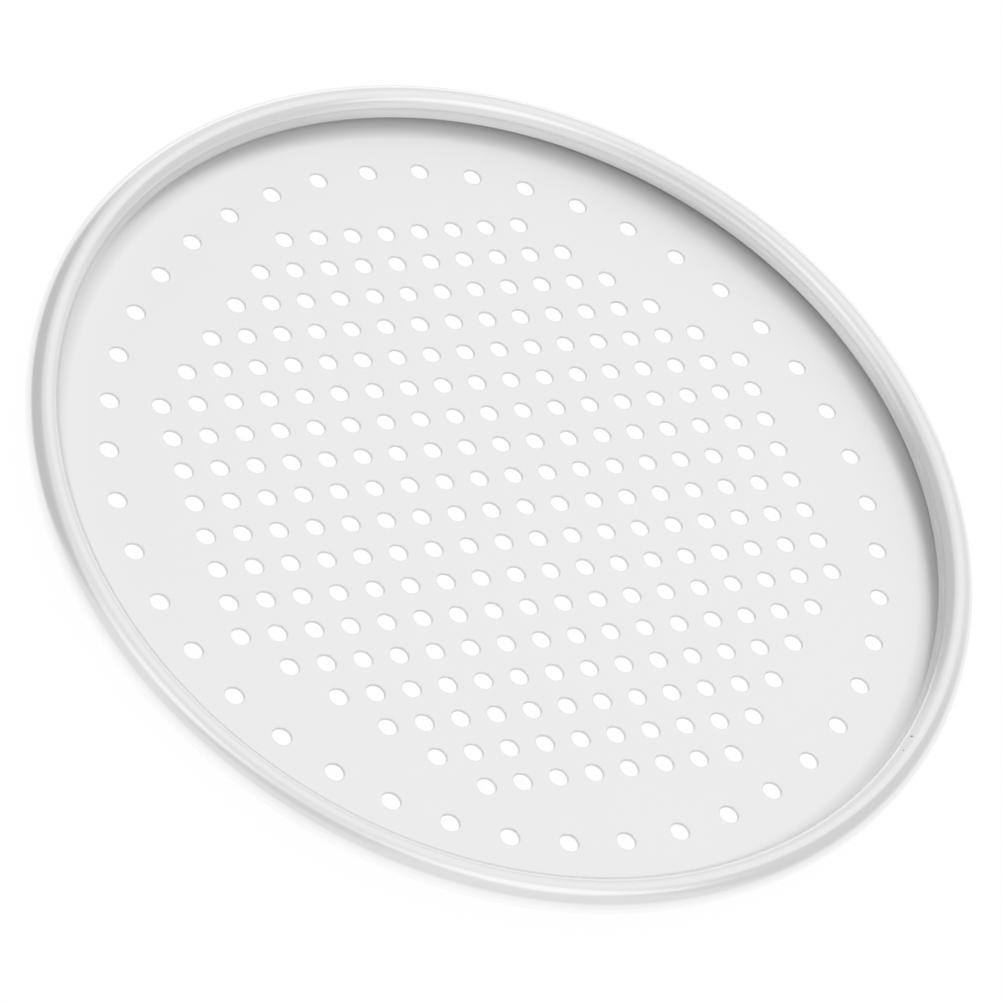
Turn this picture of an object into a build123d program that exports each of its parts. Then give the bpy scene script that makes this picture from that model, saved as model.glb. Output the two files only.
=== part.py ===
"""Round perforated pizza pan: one pressed sheet whose rim is rolled round a wire ring.

Millimetres, +Z up. The origin is on the pan's axis, at the underside of the flat middle of its floor.
"""

import os
from math import acos, asin, cos, degrees, pi, sin, sqrt

from build123d import *

os.makedirs("parts", exist_ok=True)

# Floor: flat in the middle, then a slightly dished arc, then a tighter arc up to the rim
sheet_thickness = 1.2
flat_diameter = 76.2
dish_radius = 2650
sweep_width = 18.3
sweep_radius = 88

# Rolled rim: a full round bead on a short neck
rim_inside_diameter = 304
bead_diameter = 11.2
neck_inset = 0.3
neck_height = 0.26
neck_bend_radius = 0.5
seam_gap = 0.3

# Rim wire
wire_clearance = 0.2
wire_end_gap = 0.6

# Holes
hole_diameter = 6.35
hole_pitch = 12.7
hole_ring_margin = 18.1
ring_hole_spacing = 19.6
field_apothem_share = 0.83

bead_radius = bead_diameter / 2
bore_radius = bead_radius - sheet_thickness
bead_circle_radius = rim_inside_diameter / 2 + bead_radius
neck_inside = bead_circle_radius - neck_inset
neck_outside = neck_inside + sheet_thickness

# The dish leaves the flat middle level, and the sweep leaves the dish at the dish's own lean.
flat_radius = flat_diameter / 2
dish_centre = (flat_radius, sheet_thickness + dish_radius)
sweep_start = neck_inside - sweep_width
dish_lean = asin((sweep_start - flat_radius) / dish_radius)
sweep_centre = (
    sweep_start - sweep_radius * sin(dish_lean),
    dish_centre[1] - (dish_radius - sweep_radius) * cos(dish_lean),
)

# The bend at the foot of the neck leaves the sweep at the sweep's lean there.
bend_place = neck_inside - neck_bend_radius
sweep_lean = asin((bend_place - sweep_centre[0]) / (sweep_radius - neck_bend_radius))
bend_centre = (bend_place, sweep_centre[1] - (sweep_radius - neck_bend_radius) * cos(sweep_lean))

# The bead sits on the neck, so that the neck's inner face runs up into it.
bead_centre_height = bend_centre[1] + neck_height + sqrt(bead_radius**2 - neck_inset**2)
bead_centre = (bead_circle_radius, bead_centre_height)
pan_height = bead_centre_height + bead_radius

# The curl starts where the neck meets the bead, and its raw edge stops a seam gap short of the neck.
bead_start = 360 - degrees(acos((neck_inside - bead_circle_radius) / bead_radius))
bore_start = 360 - degrees(acos((neck_outside - bead_circle_radius) / bore_radius))
curl_end = -degrees(acos((neck_outside + seam_gap - bead_circle_radius) / bore_radius))

# A square grid of holes fills an octagon, and one ring of holes runs round it.
ring_radius = rim_inside_diameter / 2 - hole_ring_margin
ring_hole_count = round(2 * pi * ring_radius / ring_hole_spacing)
field_apothem = field_apothem_share * ring_radius
field_count = 2 * round(field_apothem / hole_pitch)


def in_octagon(place):
    """Whether a place lies inside the regular octagon round the pan's axis."""
    x = abs(place.position.X)
    y = abs(place.position.Y)
    return max(x, y, (x + y) / sqrt(2)) <= field_apothem


# Pan body: the section of floor, neck and curl, turned round the pan's axis
with BuildPart() as pan_body:
    with BuildSketch(Plane.XZ) as section:
        with BuildLine() as outline:
            flat_underside = Line((0, 0), (flat_radius, 0))
            dish_underside = CenterArc(
                dish_centre, dish_radius + sheet_thickness, -90, degrees(dish_lean)
            )
            sweep_underside = CenterArc(
                sweep_centre,
                sweep_radius + sheet_thickness,
                degrees(dish_lean) - 90,
                degrees(sweep_lean - dish_lean),
            )
            outer_bend = CenterArc(
                bend_centre,
                neck_bend_radius + sheet_thickness,
                degrees(sweep_lean) - 90,
                90 - degrees(sweep_lean),
            )
            bore = CenterArc(bead_centre, bore_radius, bore_start, curl_end - bore_start)
            neck_outer_face = Line(outer_bend @ 1, bore @ 0)
            bead = CenterArc(bead_centre, bead_radius, bead_start, curl_end - bead_start)
            raw_edge = Line(bore @ 1, bead @ 1)
            inner_bend = CenterArc(
                bend_centre, neck_bend_radius, degrees(sweep_lean) - 90, 90 - degrees(sweep_lean)
            )
            neck_inner_face = Line(bead @ 0, inner_bend @ 1)
            sweep = CenterArc(
                sweep_centre,
                sweep_radius,
                degrees(dish_lean) - 90,
                degrees(sweep_lean - dish_lean),
            )
            dish = CenterArc(dish_centre, dish_radius, -90, degrees(dish_lean))
            flat_floor = Line(dish @ 0, (0, sheet_thickness))
            axis_line = Line(flat_floor @ 1, (0, 0))
        make_face()
    revolve(axis=Axis.Z)

    with BuildSketch() as holes:
        grid = GridLocations(hole_pitch, hole_pitch, field_count, field_count)
        with Locations(*[place for place in grid.local_locations if in_octagon(place)]):
            Circle(hole_diameter / 2)
        with PolarLocations(ring_radius, ring_hole_count):
            Circle(hole_diameter / 2)
    extrude(amount=pan_height, mode=Mode.SUBTRACT)

# Rim wire: a round ring inside the curl, its two ends butted together
with BuildPart() as rim_wire:
    with BuildSketch(Plane.XZ) as wire_section:
        with Locations(bead_centre):
            Circle(bore_radius - wire_clearance)
    revolve(axis=Axis.Z, revolution_arc=360 - degrees(wire_end_gap / bead_circle_radius))

pan_body.part.label = "pan_body"
rim_wire.part.label = "rim_wire"
export_step(pan_body.part, "parts/pan_body.step")
export_step(rim_wire.part, "parts/rim_wire.step")

print(f"{len(holes.faces())} holes, {ring_hole_count} of them in the outer ring")
print(f"outside diameter {2 * (bead_circle_radius + bead_radius):.1f} mm, height {pan_height:.1f} mm")
print(f"neck foot at {bend_centre[1]:.2f} mm, its top at {(bead @ 0).Y:.2f} mm")
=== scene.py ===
"""Round perforated pizza pan in satin aluminium, its rim rolled round a galvanised wire ring."""

from math import acos, asin, cos, hypot, pi, radians, sin, sqrt, tan

import bmesh
import bpy
from mathutils import Matrix, Vector
from mathutils.geometry import delaunay_2d_cdt


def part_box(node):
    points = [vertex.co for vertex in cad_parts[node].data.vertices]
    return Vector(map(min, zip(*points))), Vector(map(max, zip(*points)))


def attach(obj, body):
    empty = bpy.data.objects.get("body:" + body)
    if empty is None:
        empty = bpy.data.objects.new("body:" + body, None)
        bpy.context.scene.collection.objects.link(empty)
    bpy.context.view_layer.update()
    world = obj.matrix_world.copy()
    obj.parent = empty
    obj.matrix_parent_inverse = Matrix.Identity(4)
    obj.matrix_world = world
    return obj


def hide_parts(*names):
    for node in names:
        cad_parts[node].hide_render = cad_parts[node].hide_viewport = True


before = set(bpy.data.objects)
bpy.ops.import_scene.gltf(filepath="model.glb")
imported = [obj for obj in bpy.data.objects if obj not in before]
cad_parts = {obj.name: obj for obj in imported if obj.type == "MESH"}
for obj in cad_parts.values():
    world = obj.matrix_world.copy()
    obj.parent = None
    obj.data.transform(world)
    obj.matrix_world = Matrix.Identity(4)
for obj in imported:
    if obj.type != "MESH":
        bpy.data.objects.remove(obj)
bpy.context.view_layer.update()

MM = 0.001

# The pan's sizes, in metres
sheet_thickness = 1.2 * MM
flat_diameter = 76.2 * MM
dish_radius = 2650 * MM
sweep_width = 18.3 * MM
sweep_radius = 88 * MM
bead_diameter = 11.2 * MM
neck_inset = 0.3 * MM
neck_bend_radius = 0.5 * MM
seam_gap = 0.3 * MM
raw_edge_round = 0.25 * MM
hole_diameter = 6.35 * MM
hole_pitch = 12.7 * MM
hole_ring_margin = 18.1 * MM
ring_hole_spacing = 19.6 * MM
field_apothem_share = 0.83
punch_roll = 0.3 * MM
punch_burr = 0.1 * MM

# The mesh's fineness, as steps round or along each shape
rim_steps = 420
hole_steps = 32
bead_steps = 44
bore_steps = 20
sweep_steps = 8
bend_steps = 4
punch_steps = 2
edge_steps = 3

# How near two points of the floor's mesh come before they count as one
weld_distance = 0.001 * MM

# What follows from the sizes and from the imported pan
pan_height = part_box("pan_body")[1].z
bead_radius = bead_diameter / 2
bore_radius = bead_radius - sheet_thickness
bead_circle_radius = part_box("pan_body")[1].x - bead_radius
bead_centre = (bead_circle_radius, pan_height - bead_radius)
neck_inside = bead_circle_radius - neck_inset
neck_outside = neck_inside + sheet_thickness

# The dish leaves the flat middle level, the sweep leaves the dish at its lean, and the bend the sweep
flat_radius = flat_diameter / 2
sweep_start = neck_inside - sweep_width
dish_lean = asin((sweep_start - flat_radius) / dish_radius)
sweep_centre = (sweep_start - sweep_radius * sin(dish_lean),
                sheet_thickness + dish_radius - (dish_radius - sweep_radius) * cos(dish_lean))
bend_place = neck_inside - neck_bend_radius
sweep_lean = asin((bend_place - sweep_centre[0]) / (sweep_radius - neck_bend_radius))
bend_centre = (bend_place, sweep_centre[1] - (sweep_radius - neck_bend_radius) * cos(sweep_lean))

# The curl runs from where the neck meets it to a seam gap short of the neck
bead_start = 2 * pi - acos((neck_inside - bead_circle_radius) / bead_radius)
bore_start = 2 * pi - acos((neck_outside - bead_circle_radius) / bore_radius)
curl_end = -acos((neck_outside + seam_gap - bead_circle_radius) / bore_radius)

# A square grid of holes fills an octagon, and one ring of holes runs round it
ring_radius = bead_circle_radius - bead_radius - hole_ring_margin
field_apothem = field_apothem_share * ring_radius


def arc(centre, radius, start, end, steps):
    """Points along an arc in the section plane, both ends included."""
    turns = [start + (end - start) * step / steps for step in range(steps + 1)]
    return [Vector((centre[0] + radius * cos(turn), centre[1] + radius * sin(turn))) for turn in turns]


def rounded_end(outer, inner):
    """The sheet's raw edge, with both its corners rounded."""
    across = (inner[0] - outer[-1]).normalized()
    back = (outer[-2] - outer[-1]).normalized()
    quarter = [pi / 2 * step / edge_steps for step in range(edge_steps + 1)]

    def rounded(corner, into):
        centre = corner + (into + back) * raw_edge_round
        return [centre - into * raw_edge_round * cos(turn) - back * raw_edge_round * sin(turn)
                for turn in quarter]

    return rounded(outer[-1], across) + rounded(inner[0], -across)[::-1]


def rim_section():
    """The rim's section, from the floor's upper face over the bead and back to the floor's underside."""
    level = -pi / 2
    sweep = arc(sweep_centre, sweep_radius, level + dish_lean, level + sweep_lean, sweep_steps)
    inner_bend = arc(bend_centre, neck_bend_radius, level + sweep_lean, 0, bend_steps)
    bead = arc(bead_centre, bead_radius, bead_start, curl_end, bead_steps)
    bore = arc(bead_centre, bore_radius, curl_end, bore_start, bore_steps)
    outer_bend = arc(bend_centre, neck_bend_radius + sheet_thickness, 0, level + sweep_lean, bend_steps)
    sweep_underside = arc(sweep_centre, sweep_radius + sheet_thickness,
                          level + sweep_lean, level + dish_lean, sweep_steps)
    curl = bead[:-1] + rounded_end(bead, bore) + bore[1:]
    return sweep + inner_bend[1:] + curl + outer_bend + sweep_underside[1:]


def hole_places():
    """Centres of all holes: a square grid filling an octagon, and one ring round it."""
    half_count = round(field_apothem / hole_pitch)
    steps = [(step + 1 / 2) * hole_pitch for step in range(-half_count, half_count)]
    places = [Vector((x, y)) for y in steps for x in steps
              if max(abs(x), abs(y), (abs(x) + abs(y)) / sqrt(2)) <= field_apothem]
    ring_count = round(2 * pi * ring_radius / ring_hole_spacing)
    turns = [2 * pi * step / ring_count for step in range(ring_count)]
    return places + [Vector((cos(turn), sin(turn))) * ring_radius for turn in turns]


def hole_section():
    """Radius and height down a punched hole: rolled upper edge, straight wall, small lower edge."""
    radius = hole_diameter / 2
    roll_centre = (radius + punch_roll, sheet_thickness - punch_roll)
    upper_edge = arc(roll_centre, punch_roll, pi / 2, pi, punch_steps)
    lower_edge = [Vector((radius, punch_burr)), Vector((radius + punch_burr, 0))]
    return upper_edge + lower_edge


def floor_rise(radius):
    """How far the dished floor has risen at a radius."""
    beyond = max(0, radius - flat_radius)
    return dish_radius - sqrt(dish_radius ** 2 - beyond ** 2)


def ring_points(centre, radius, height, steps, rise=None):
    """Points round a circle, level or lifted with the floor."""
    points = []
    for step in range(steps):
        turn = 2 * pi * step / steps
        x = centre.x + radius * cos(turn)
        y = centre.y + radius * sin(turn)
        points.append((x, y, height + (rise(hypot(x, y)) if rise else 0)))
    return points


def bridge(first, second, steps):
    """Quads between two closed rings of points, given by the index of each ring's first point."""
    return [(first + step, first + (step + 1) % steps, second + (step + 1) % steps, second + step)
            for step in range(steps)]


def holed_disc(rings, points):
    """Triangles of a flat disc between its outer ring, which comes first, and the rings of its holes."""
    outer_ring = rings[0][0]
    members = [start + step for start, steps in rings for step in range(steps)]
    ring_of = [start for start, steps in rings for step in range(steps)]
    index_of = {member: index for index, member in enumerate(members)}
    flat = [Vector(points[member][:2]) for member in members]
    edges = [(index_of[start + step], index_of[start + (step + 1) % steps])
             for start, steps in rings for step in range(steps)]
    only_inside = 1
    triangles, origins = delaunay_2d_cdt(flat, edges, [], only_inside, weld_distance, True)[2:4]
    kept = []
    for triangle in triangles:
        corners = [origins[corner][0] for corner in triangle]
        rings_met = {ring_of[corner] for corner in corners}
        fills_hole = len(rings_met) == 1 and outer_ring not in rings_met
        if not fills_hole:
            kept.append([members[corner] for corner in corners])
    return kept


def pan_mesh():
    """The whole pan as one closed sheet: punched floor, neck and rolled rim."""
    points = []
    faces = []
    cut_faces = []

    def add_ring(centre, radius, height, steps, rise=None):
        points.extend(ring_points(centre, radius, height, steps, rise))
        return len(points) - steps

    axis = Vector((0, 0))
    rim_rings = [add_ring(axis, at.x, at.y, rim_steps) for at in rim_section()]
    for first, second in zip(rim_rings, rim_rings[1:]):
        faces.extend(bridge(first, second, rim_steps))

    upper = [(rim_rings[0], rim_steps)]
    lower = [(rim_rings[-1], rim_steps)]
    for centre in hole_places():
        rings = [add_ring(centre, at.x, at.y, hole_steps, floor_rise) for at in hole_section()]
        for level, (first, second) in enumerate(zip(rings, rings[1:])):
            if level == punch_steps:
                cut_faces.extend(range(len(faces), len(faces) + hole_steps))
            faces.extend(bridge(second, first, hole_steps))
        upper.append((rings[0], hole_steps))
        lower.append((rings[-1], hole_steps))
    faces.extend(holed_disc(upper, points))
    faces.extend(corners[::-1] for corners in holed_disc(lower, points))

    mesh = bpy.data.meshes.new("pan")
    mesh.from_pydata(points, [], faces)
    mesh.polygons.foreach_set("use_smooth", [True] * len(mesh.polygons))
    for face in cut_faces:
        mesh.polygons[face].material_index = 1
    turned = bmesh.new()
    turned.from_mesh(mesh)
    bmesh.ops.recalc_face_normals(turned, faces=turned.faces)
    turned.to_mesh(mesh)
    turned.free()
    return mesh


class Signal:
    """One output of a shader node, so that sums on it can be written as expressions."""

    def __init__(self, tree, socket):
        self.tree = tree
        self.socket = socket

    def maths(self, operation, first, second):
        node = self.tree.nodes.new("ShaderNodeMath")
        node.operation = operation
        plug(self.tree, node.inputs[0], first)
        plug(self.tree, node.inputs[1], second)
        return Signal(self.tree, node.outputs[0])

    def __add__(self, other):
        return self.maths("ADD", self, other)

    def __radd__(self, other):
        return self.maths("ADD", other, self)

    def __sub__(self, other):
        return self.maths("SUBTRACT", self, other)

    def __rsub__(self, other):
        return self.maths("SUBTRACT", other, self)

    def __mul__(self, other):
        return self.maths("MULTIPLY", self, other)

    def __rmul__(self, other):
        return self.maths("MULTIPLY", other, self)


def plug(tree, socket, value):
    """Feeds a socket with a signal, or sets its value."""
    if isinstance(value, Signal):
        tree.links.new(value.socket, socket)
    else:
        socket.default_value = value


class Recipe:
    """The node tree of one material or of the world."""

    def __init__(self, owner):
        owner.use_nodes = True
        self.tree = owner.node_tree
        self.tree.nodes.clear()

    def node(self, kind, settings=None, inputs=None, output=0):
        """Makes a node of a type, with its settings first and then the values or links of its sockets."""
        node = self.tree.nodes.new("ShaderNode" + kind)
        for name, value in (settings or {}).items():
            setattr(node, name, value)
        for name, value in (inputs or {}).items():
            plug(self.tree, node.inputs[name], value)
        return Signal(self.tree, node.outputs[output]) if node.outputs else None

    def fade(self, signal, start, end, lowest=0):
        """Goes from a lowest value to 1 while a signal goes from a start to an end."""
        return self.node("MapRange", inputs={
            "Value": signal, "From Min": start, "From Max": end, "To Min": lowest})

    def bare_metal(self, shade, roughness, relief=None):
        """Ends the recipe as bare grey metal, with a fine relief where one is given."""
        colour = self.node("CombineColor", inputs={"Red": shade, "Green": shade, "Blue": shade})
        inputs = {"Base Color": colour, "Metallic": 1, "Roughness": roughness}
        if relief:
            inputs["Normal"] = relief
        self.node("OutputMaterial", inputs={"Surface": self.node("BsdfPrincipled", inputs=inputs)})


# The middle of what a noise gives
noise_middle = 0.5

# The sheet's finish on its floor and on its bead, which sets in from just below the bead's foot
floor_shade = 0.885
floor_roughness = 0.28
bead_shade = 0.87
bead_roughness = 0.24
burnish_below = 0.6 * MM
burnish_above = 1.0 * MM

# Painted shade: the crease in front of the neck is drawn darker, where shade falls in it; over its width it
# sets in, and over its margin it is full
painted_crease_shade = 0.71
crease_width = 5 * MM
crease_margin = 4.8 * MM

# Painted reflection: the bead's outer flank is drawn brighter, to stand for the bright floor that it
# mirrors; this sets in outwards and downwards, measured from the bead's middle
painted_flank_reflection = 0.98
flank_margin = 0.4 * MM
flank_width = 2 * MM
flank_rise = 2.8 * MM
flank_drop = 0.2 * MM

# Faint clouds all over the sheet, and the fine grain that rolling left along it, per metre
cloud_scale = 14
cloud_detail = 3
cloud_depth = 0.012
grain_along = 60
grain_across = 2400
grain_detail = 2
grain_relief = 0.002 * MM

# Two small nicks on the bead, drawn only as painted shade in the colour: where round the pan and where
# round the bead each is, in degrees, how far it reaches, and the share of the shade that is left in it
painted_nick_shades = ((-49.47, 116.4, 0.6 * MM, 0.35),
         (-52.08, 112.9, 0.5 * MM, 0.65))
nick_core_share = 1 / 3


def on_bead(azimuth, turn):
    """The point of the bead's face at an angle round the pan and an angle round the bead, in degrees."""
    radius = bead_circle_radius + bead_radius * cos(radians(turn))
    height = bead_centre[1] + bead_radius * sin(radians(turn))
    return Vector((radius * cos(radians(azimuth)), radius * sin(radians(azimuth)), height))


def satin_aluminium():
    """Satin sheet, clouded and grained, with painted shade in the crease, burnished on the bead with a
    painted reflection on its outer flank, and with the painted shade of two nicks.
    """
    material = bpy.data.materials.new("satin_aluminium")
    recipe = Recipe(material)
    place = recipe.node("TexCoord", output="Object")
    height = recipe.node("SeparateXYZ", inputs={"Vector": place}, output="Z")
    level = (1, 1, 0)
    flattened = recipe.node("VectorMath", settings={"operation": "MULTIPLY"}, inputs={0: place, 1: level})
    radius = recipe.node("VectorMath", settings={"operation": "LENGTH"},
                         inputs={0: flattened}, output="Value")

    # Painted shade: the crease in front of the neck is drawn darker where shade falls in it
    crease_end = neck_inside - crease_margin
    creased = recipe.fade(radius, crease_end - crease_width, crease_end)
    bead_foot = pan_height - bead_diameter
    burnished = recipe.fade(height, bead_foot - burnish_below, bead_foot + burnish_above)
    # Painted reflection: the bead's outer, lower flank is drawn brighter, standing for the floor it mirrors
    flank_start = bead_circle_radius + flank_margin
    outward = recipe.fade(radius, flank_start, flank_start + flank_width)
    downward = recipe.fade(height, bead_centre[1] + flank_rise, bead_centre[1] - flank_drop)
    clouds = recipe.node("TexNoise", inputs={
        "Vector": place, "Scale": cloud_scale, "Detail": cloud_detail})

    # The floor's shade, with the painted shade of its crease
    floor_and_painted_crease_shade = floor_shade + (painted_crease_shade - floor_shade) * creased
    # The bead's shade, with the painted reflection on its outer flank
    bead_and_painted_flank_shade = bead_shade + (painted_flank_reflection - bead_shade) * downward * outward
    shade = floor_and_painted_crease_shade + (bead_and_painted_flank_shade - floor_and_painted_crease_shade) * burnished
    shade = shade + cloud_depth * (clouds - noise_middle)
    # Painted shade of two nicks: the colour is drawn darker round each
    for azimuth, turn, reach, share_left in painted_nick_shades:
        away = recipe.node("VectorMath", settings={"operation": "DISTANCE"},
                           inputs={0: place, 1: on_bead(azimuth, turn)}, output="Value")
        shade = shade * recipe.fade(away, nick_core_share * reach, reach, share_left)

    grain_place = recipe.node("Mapping", inputs={
        "Vector": place, "Scale": (grain_along, grain_across, grain_across)})
    grain = recipe.node("TexNoise", inputs={"Vector": grain_place, "Scale": 1, "Detail": grain_detail})
    relief = recipe.node("Bump", inputs={"Height": grain, "Distance": grain_relief, "Strength": 1})
    roughness = floor_roughness + (bead_roughness - floor_roughness) * burnished
    recipe.bare_metal(shade, roughness, relief)
    return material


# The punched walls' finish: their shade is darker partly for their torn cut and partly as painted shade, for
# the dim underside of the pan that they mirror; with the tears of the punch per metre
cut_and_painted_shade = 0.7
cut_roughness = 0.5
tear_scale = 900
tear_depth = 0.1


def cut_aluminium():
    """The punched walls of the holes, duller than the rolled faces and a little torn, and darker partly for
    their cut and partly as painted shade.
    """
    material = bpy.data.materials.new("cut_aluminium")
    recipe = Recipe(material)
    place = recipe.node("TexCoord", output="Object")
    tears = recipe.node("TexNoise", inputs={"Vector": place, "Scale": tear_scale})
    # The punched walls' shade: partly their cut, partly painted shade
    recipe.bare_metal(cut_and_painted_shade + tear_depth * (tears - noise_middle), cut_roughness)
    return material


# The wire's zinc, with the flakes of its spangle per metre, and what they add to its shade and roughness
zinc_shade = 0.42
zinc_roughness = 0.42
spangle_scale = 420
spangle_shade = 0.1
spangle_roughness = 0.08


def galvanised_steel():
    """Dull galvanised wire: grey zinc with a faint spangle."""
    material = bpy.data.materials.new("galvanised_steel")
    recipe = Recipe(material)
    place = recipe.node("TexCoord", output="Object")
    flakes = recipe.node("TexVoronoi", inputs={"Vector": place, "Scale": spangle_scale}, output="Color")
    spangle = recipe.node("SeparateColor", inputs={"Color": flakes})
    recipe.bare_metal(zinc_shade + spangle_shade * spangle, zinc_roughness + spangle_roughness * spangle)
    return material


def add_pan():
    """The pressed, punched and rolled sheet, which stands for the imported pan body."""
    pan = bpy.data.objects.new("pan", pan_mesh())
    bpy.context.collection.objects.link(pan)
    pan.modifiers.new("even_shading", "WEIGHTED_NORMAL").keep_sharp = True
    pan.data.materials.append(satin_aluminium())
    pan.data.materials.append(cut_aluminium())
    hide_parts("pan_body")
    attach(pan, "root")


def finish_wire():
    """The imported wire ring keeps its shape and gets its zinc."""
    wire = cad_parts["rim_wire"]
    wire.data.materials.clear()
    wire.data.materials.append(galvanised_steel())


# Where the photograph was taken from, in metres, and its lean, both worked out from the grid of holes
camera_place = Vector((-0.58754, -0.62865, 0.99527))
camera_right = Vector((0.8907, -0.3179, 0.3249))
camera_up = Vector((0.0860, 0.8197, 0.5663))
camera_focal_pixels = 3991
picture_pixels = 1002
sensor_width = 36


def add_camera():
    """The camera stands and leans as the photograph's did."""
    camera = bpy.data.cameras.new("camera")
    camera.sensor_width = sensor_width
    camera.lens = camera_focal_pixels / picture_pixels * sensor_width
    holder = bpy.data.objects.new("camera", camera)
    bpy.context.collection.objects.link(holder)
    right = camera_right.normalized()
    back = right.cross(camera_up).normalized()
    up = back.cross(right)
    turn = Matrix((right, up, back)).transposed().to_4x4()
    holder.matrix_world = Matrix.Translation(camera_place) @ turn
    bpy.context.scene.camera = holder


def flat_sheet(name, half_width, half_depth):
    """A level rectangle round the origin, in one face."""
    mesh = bpy.data.meshes.new(name)
    corners = [(-half_width, -half_depth, 0), (half_width, -half_depth, 0),
               (half_width, half_depth, 0), (-half_width, half_depth, 0)]
    mesh.from_pydata(corners, [], [(0, 1, 2, 3)])
    sheet = bpy.data.objects.new(name, mesh)
    bpy.context.collection.objects.link(sheet)
    return sheet


# The studio: how far its panels stand from the pan, in metres, and how brightly its surroundings glow
panel_distance = 2.5
surroundings_glow = 0.86
white = (1, 1, 1, 1)


def add_panel(name, azimuth, elevation, wide, tall, glow):
    """A flat panel round the pan that the camera doesn't see: a soft lamp where it outshines the
    surroundings, and a grey card where it is dimmer. Azimuth and elevation say where the pan sees its
    middle, and wide and tall how large the pan sees it, all in degrees."""
    half_width = panel_distance * tan(radians(wide) / 2)
    half_depth = panel_distance * tan(radians(tall) / 2)
    panel = flat_sheet(name, half_width, half_depth)
    turn = radians(azimuth)
    climb = radians(elevation)
    away = Vector((cos(climb) * cos(turn), cos(climb) * sin(turn), sin(climb)))
    facing = away.to_track_quat("Z", "Y").to_matrix().to_4x4()
    panel.matrix_world = Matrix.Translation(away * panel_distance) @ facing
    panel.visible_camera = False
    material = bpy.data.materials.new(name)
    recipe = Recipe(material)
    even = recipe.node("Emission", inputs={"Strength": glow})
    recipe.node("OutputMaterial", inputs={"Surface": even})
    panel.data.materials.append(material)


def add_studio():
    """Soft lamps beside the camera and beyond the pan, and grey cards where the metal mirrors less light."""
    add_panel("left_softbox", azimuth=175, elevation=62, wide=26, tall=25, glow=1.09)
    add_panel("right_softbox", azimuth=302, elevation=66, wide=30, tall=28, glow=1.13)
    add_panel("far_softbox", azimuth=38, elevation=53, wide=32, tall=42, glow=0.97)
    add_panel("far_strip", azimuth=68, elevation=4, wide=85, tall=9, glow=1.31)
    add_panel("left_card", azimuth=124, elevation=25, wide=62, tall=52, glow=0.6)
    add_panel("right_card", azimuth=338, elevation=36, wide=54, tall=52, glow=0.73)
    add_panel("camera_card", azimuth=214, elevation=52, wide=36, tall=34, glow=0.71)


def add_world():
    """Even surroundings, white to the camera and a little dimmer where they light the pan."""
    world = bpy.data.worlds.new("studio")
    bpy.context.scene.world = world
    recipe = Recipe(world)
    seen = recipe.node("LightPath", output="Is Camera Ray")
    through = recipe.node("LightPath", output="Is Transmission Ray")
    around = recipe.node("Background", inputs={"Color": white, "Strength": surroundings_glow})
    behind = recipe.node("Background", inputs={"Color": white, "Strength": 1})
    mixed = recipe.node("MixShader", inputs={0: seen + through, 1: around, 2: behind})
    recipe.node("OutputWorld", inputs={"Surface": mixed})


# The floor: half its width in metres, the paint that lights the pan, the glow that is seen instead,
# and the paint on top of that glow, which is all that a shadow can take away
floor_half_width = 4.0
floor_paint = (0.8, 0.8, 0.8, 1)
floor_glow = 0.96
shadowed_paint = (0.05, 0.05, 0.05, 1)


def add_floor():
    """A white floor, seen and mirrored as plain white but for the pan's faint shadow."""
    floor = flat_sheet("floor", floor_half_width, floor_half_width)
    material = bpy.data.materials.new("white_floor")
    recipe = Recipe(material)
    seen = recipe.node("LightPath", output="Is Camera Ray")
    mirrored = recipe.node("LightPath", output="Is Glossy Ray")
    through = recipe.node("LightPath", output="Is Transmission Ray")
    painted = recipe.node("BsdfDiffuse", inputs={"Color": floor_paint})
    shadowed = recipe.node("BsdfDiffuse", inputs={"Color": shadowed_paint})
    glowing = recipe.node("Emission", inputs={"Strength": floor_glow})
    plain = recipe.node("AddShader", inputs={0: shadowed, 1: glowing})
    mixed = recipe.node("MixShader", inputs={0: seen + mirrored + through, 1: painted, 2: plain})
    recipe.node("OutputMaterial", inputs={"Surface": mixed})
    floor.data.materials.append(material)


add_pan()
finish_wire()
add_camera()
add_floor()
add_studio()
add_world()
bpy.context.scene.view_settings.view_transform = "Standard"
